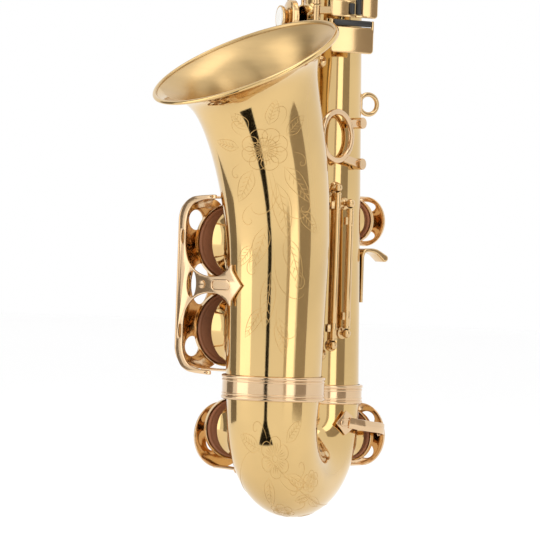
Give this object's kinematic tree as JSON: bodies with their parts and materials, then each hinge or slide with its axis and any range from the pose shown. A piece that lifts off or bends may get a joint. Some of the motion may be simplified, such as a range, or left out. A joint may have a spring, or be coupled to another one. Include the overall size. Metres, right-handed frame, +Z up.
{
  "type": "alto saxophone",
  "caption": "Conical brass wind instrument with a bow, a flared bell, hinged pad keys, a little-finger table with rollers, a turning neck and a beaked mouthpiece.",
  "frame": {"origin": "centre of the strap ring on the back of the body tube", "axes": "+Z up along the body tube towards the neck, -Y towards the bell and the audience, +Y towards the player, +X to the player's left"},
  "size_m": [0.1207, 0.3403, 0.6756],
  "materials": {
    "lacquer": "clear-lacquered and polished, with engraved flowers on bell and bow",
    "key_brass": "clear-lacquered and polished",
    "steel": "turned rod",
    "leather": "soft tan pad with a domed brass resonator",
    "black_nylon": "satin black",
    "ebonite": "polished hard rubber",
    "cork": "sanded cork",
    "cane": "scraped cane"
  },
  "bodies": {
    "body": {"body_tube": "lacquer", "bow": "lacquer", "bell": "lacquer", "lower_stack_rod": "steel", "upper_stack_rod": "steel", "bell_key_rod": "steel", "body_ferrule": "key_brass", "bell_ferrule": "key_brass", "bell_key_guard": "key_brass", "g_sharp_guard": "key_brass", "low_c_guard": "key_brass", "low_c_sharp_guard": "key_brass", "bell_brace": "key_brass", "strap_ring": "key_brass", "thumb_hook": "key_brass", "thumb_rest": "black_nylon", "neck_receiver": "key_brass"},
    "low_b_flat": {"low_b_flat_key": "key_brass", "low_b_flat_pad": "leather"},
    "low_b": {"low_b_key": "key_brass", "low_b_pad": "leather"},
    "low_c": {"low_c_key": "key_brass", "low_c_pad": "leather"},
    "low_c_sharp": {"low_c_sharp_key": "key_brass", "low_c_sharp_pad": "leather"},
    "low_e_flat": {"low_e_flat_key": "key_brass", "low_e_flat_pad": "leather"},
    "g_sharp": {"g_sharp_key": "key_brass", "g_sharp_pad": "leather"},
    "d": {"d_key": "key_brass"},
    "e": {"e_key": "key_brass"},
    "f": {"f_key": "key_brass"},
    "f_sharp": {"f_sharp_key": "key_brass"},
    "g": {"g_key": "key_brass"},
    "a": {"a_key": "key_brass"},
    "b": {"b_key": "key_brass"},
    "side_b_flat": {"side_b_flat_key": "key_brass"},
    "side_c": {"side_c_key": "key_brass"},
    "palm_d": {"palm_d_key": "key_brass"},
    "palm_e_flat": {"palm_e_flat_key": "key_brass"},
    "palm_f": {"palm_f_key": "key_brass"},
    "b_flat_touch": {"b_flat_touch": "key_brass"},
    "b_flat_roller": {"b_flat_roller": "black_nylon"},
    "c_sharp_touch": {"c_sharp_touch": "key_brass"},
    "c_sharp_roller": {"c_sharp_roller": "black_nylon"},
    "b_touch": {"b_touch": "key_brass"},
    "b_roller": {"b_roller": "black_nylon"},
    "g_sharp_touch": {"g_sharp_touch": "key_brass"},
    "low_c_sharp_lever": {"low_c_sharp_lever": "key_brass"},
    "low_b_lever": {"low_b_lever": "key_brass"},
    "low_b_flat_lever": {"low_b_flat_lever": "key_brass"},
    "neck_screw": {"neck_screw": "key_brass"},
    "neck": {"neck_tube": "lacquer", "neck_cork": "cork", "mouthpiece": "ebonite", "reed": "cane", "ligature": "key_brass"},
    "neck_octave": {"neck_octave_key": "key_brass"},
    "octave_lever": {"octave_lever": "key_brass"}
  },
  "joints": [
    {"name": "low_b_flat_hinge", "type": "hinge", "parent": "body", "child": "low_b_flat", "pos_m": [-0.03031, -0.06062, -0.0946], "axis": [0, 0, -1], "range_deg": [-13.5, 0], "stiffness_Nm_per_rad": 0.08},
    {"name": "low_b_hinge", "type": "hinge", "parent": "body", "child": "low_b", "pos_m": [-0.03031, -0.06062, -0.15], "axis": [0, 0, -1], "range_deg": [-13.5, 0], "stiffness_Nm_per_rad": 0.08},
    {"name": "low_c_hinge", "type": "hinge", "parent": "body", "child": "low_c", "pos_m": [-0.0313, -0.05871, -0.214], "axis": [0, 0, -1], "range_deg": [-10, 0], "stiffness_Nm_per_rad": 0.08},
    {"name": "low_c_sharp_hinge", "type": "hinge", "parent": "body", "child": "low_c_sharp", "pos_m": [-0.03634, 0.004, -0.2195], "axis": [0, 0, 1], "range_deg": [-3, 2], "stiffness_Nm_per_rad": 0.08},
    {"name": "low_e_flat_hinge", "type": "hinge", "parent": "body", "child": "low_e_flat", "pos_m": [-0.04432, -0.00152, -0.145], "axis": [0, 0, 1], "range_deg": [0, 7], "stiffness_Nm_per_rad": 0.08},
    {"name": "g_sharp_hinge", "type": "hinge", "parent": "body", "child": "g_sharp", "pos_m": [-0.03595, 0.00244, -0.077], "axis": [0, 0, 1], "range_deg": [-4, 3], "stiffness_Nm_per_rad": 0.08},
    {"name": "d_hinge", "type": "hinge", "parent": "body", "child": "d", "pos_m": [-0.05207, -0.01466, -0.153], "axis": [0, 0, -1], "range_deg": [-8, 0], "stiffness_Nm_per_rad": 0.08},
    {"name": "e_hinge", "type": "hinge", "parent": "body", "child": "e", "pos_m": [-0.05207, -0.01466, -0.119], "axis": [0, 0, -1], "range_deg": [-8, 0], "stiffness_Nm_per_rad": 0.08},
    {"name": "f_hinge", "type": "hinge", "parent": "body", "child": "f", "pos_m": [-0.05207, -0.01466, -0.086], "axis": [0, 0, -1], "range_deg": [-8, 0], "stiffness_Nm_per_rad": 0.08},
    {"name": "f_sharp_hinge", "type": "hinge", "parent": "body", "child": "f_sharp", "pos_m": [-0.05207, -0.01466, -0.054], "axis": [0, 0, -1], "range_deg": [-8, 0], "stiffness_Nm_per_rad": 0.08},
    {"name": "g_hinge", "type": "hinge", "parent": "body", "child": "g", "pos_m": [-0.04825, -0.02392, -0.009], "axis": [0, 0, -1], "range_deg": [-8, 0], "stiffness_Nm_per_rad": 0.08},
    {"name": "a_hinge", "type": "hinge", "parent": "body", "child": "a", "pos_m": [-0.04825, -0.02392, 0.023], "axis": [0, 0, -1], "range_deg": [-8, 0], "stiffness_Nm_per_rad": 0.08},
    {"name": "b_hinge", "type": "hinge", "parent": "body", "child": "b", "pos_m": [-0.04825, -0.02392, 0.053], "axis": [0, 0, -1], "range_deg": [-8, 0], "stiffness_Nm_per_rad": 0.08},
    {"name": "side_b_flat_hinge", "type": "hinge", "parent": "body", "child": "side_b_flat", "pos_m": [-0.03734, -0.0041, 0.085], "axis": [0, 0, 1], "range_deg": [0, 7], "stiffness_Nm_per_rad": 0.08},
    {"name": "side_c_hinge", "type": "hinge", "parent": "body", "child": "side_c", "pos_m": [-0.04259, -0.01252, 0.119], "axis": [0, 0, 1], "range_deg": [0, 7], "stiffness_Nm_per_rad": 0.08},
    {"name": "palm_d_hinge", "type": "hinge", "parent": "body", "child": "palm_d", "pos_m": [0.00288, -0.03508, 0.135], "axis": [0, 0, -1], "range_deg": [0, 7], "stiffness_Nm_per_rad": 0.08},
    {"name": "palm_e_flat_hinge", "type": "hinge", "parent": "body", "child": "palm_e_flat", "pos_m": [0.00667, -0.01467, 0.175], "axis": [0, 0, -1], "range_deg": [0, 7], "stiffness_Nm_per_rad": 0.08},
    {"name": "palm_f_hinge", "type": "hinge", "parent": "body", "child": "palm_f", "pos_m": [-0.00105, -0.0385, 0.211], "axis": [0, 0, -1], "range_deg": [0, 7], "stiffness_Nm_per_rad": 0.08},
    {"name": "b_flat_touch_hinge", "type": "hinge", "parent": "body", "child": "b_flat_touch", "pos_m": [-0.01729, -0.05131, 0.0385], "axis": [0, 0, 1], "range_deg": [0, 7]},
    {"name": "b_flat_roller_spin", "type": "hinge", "parent": "b_flat_touch", "child": "b_flat_roller", "pos_m": [0.00502, -0.04517, 0.0493], "axis": [0.7071, 0.7071, 0], "continuous": true},
    {"name": "c_sharp_touch_hinge", "type": "hinge", "parent": "body", "child": "c_sharp_touch", "pos_m": [-0.01729, -0.05131, 0.0585], "axis": [0, 0, 1], "range_deg": [-4.2, 2.8]},
    {"name": "c_sharp_roller_spin", "type": "hinge", "parent": "c_sharp_touch", "child": "c_sharp_roller", "pos_m": [0.00459, -0.04559, 0.0585], "axis": [0, 0, 1], "continuous": true},
    {"name": "b_touch_hinge", "type": "hinge", "parent": "body", "child": "b_touch", "pos_m": [-0.01729, -0.05131, 0.064], "axis": [0, 0, 1], "range_deg": [0, 7]},
    {"name": "b_roller_spin", "type": "hinge", "parent": "b_touch", "child": "b_roller", "pos_m": [0.00791, -0.04227, 0.064], "axis": [0, 0, 1], "continuous": true},
    {"name": "g_sharp_touch_hinge", "type": "hinge", "parent": "body", "child": "g_sharp_touch", "pos_m": [-0.01729, -0.05131, 0.086], "axis": [0, 0, 1], "range_deg": [-4, 3]},
    {"name": "low_c_sharp_lever_turn", "type": "hinge", "parent": "body", "child": "low_c_sharp_lever", "pos_m": [0.00555, -0.03917, -0.109], "axis": [0, 0, 1], "range_deg": [-4.2, 2.8]},
    {"name": "low_b_lever_turn", "type": "hinge", "parent": "body", "child": "low_b_lever", "pos_m": [-0.00098, -0.0457, -0.108], "axis": [0, 0, 1], "range_deg": [0, 7]},
    {"name": "low_b_flat_lever_turn", "type": "hinge", "parent": "body", "child": "low_b_flat_lever", "pos_m": [-0.00823, -0.04955, -0.113], "axis": [0, 0, 1], "range_deg": [0, 7]},
    {"name": "neck_screw_turn", "type": "hinge", "parent": "body", "child": "neck_screw", "pos_m": [-0.01832, -0.00223, 0.299], "axis": [1, 0, 0], "continuous": true},
    {"name": "neck_turn", "type": "hinge", "parent": "body", "child": "neck", "pos_m": [-0.01832, -0.02183, 0.292], "axis": [0, 0, 1], "range_deg": [-15, 15]},
    {"name": "neck_octave_hinge", "type": "hinge", "parent": "neck", "child": "neck_octave", "pos_m": [-0.01832, -0.03286, 0.3626], "axis": [1, 0, 0], "range_deg": [0, 2.5]},
    {"name": "octave_lever_hinge", "type": "hinge", "parent": "body", "child": "octave_lever", "pos_m": [-0.02719, -0.0028, 0.189], "axis": [-0.9063, -0.4226, 0], "range_deg": [0, 2.5], "stiffness_Nm_per_rad": 0.08}
  ],
  "couplings": [
    {"joint": "b_flat_touch_hinge", "follows": "low_b_flat_hinge", "ratio": -0.51852},
    {"joint": "low_b_flat_lever_turn", "follows": "low_b_flat_hinge", "ratio": -0.51852},
    {"joint": "b_touch_hinge", "follows": "low_b_hinge", "ratio": -0.51852},
    {"joint": "low_b_lever_turn", "follows": "low_b_hinge", "ratio": -0.51852},
    {"joint": "c_sharp_touch_hinge", "follows": "low_c_sharp_hinge", "ratio": 1.4},
    {"joint": "low_c_sharp_lever_turn", "follows": "low_c_sharp_hinge", "ratio": 1.4},
    {"joint": "g_sharp_touch_hinge", "follows": "g_sharp_hinge", "ratio": 1},
    {"joint": "neck_octave_hinge", "follows": "octave_lever_hinge", "ratio": 1}
  ]
}
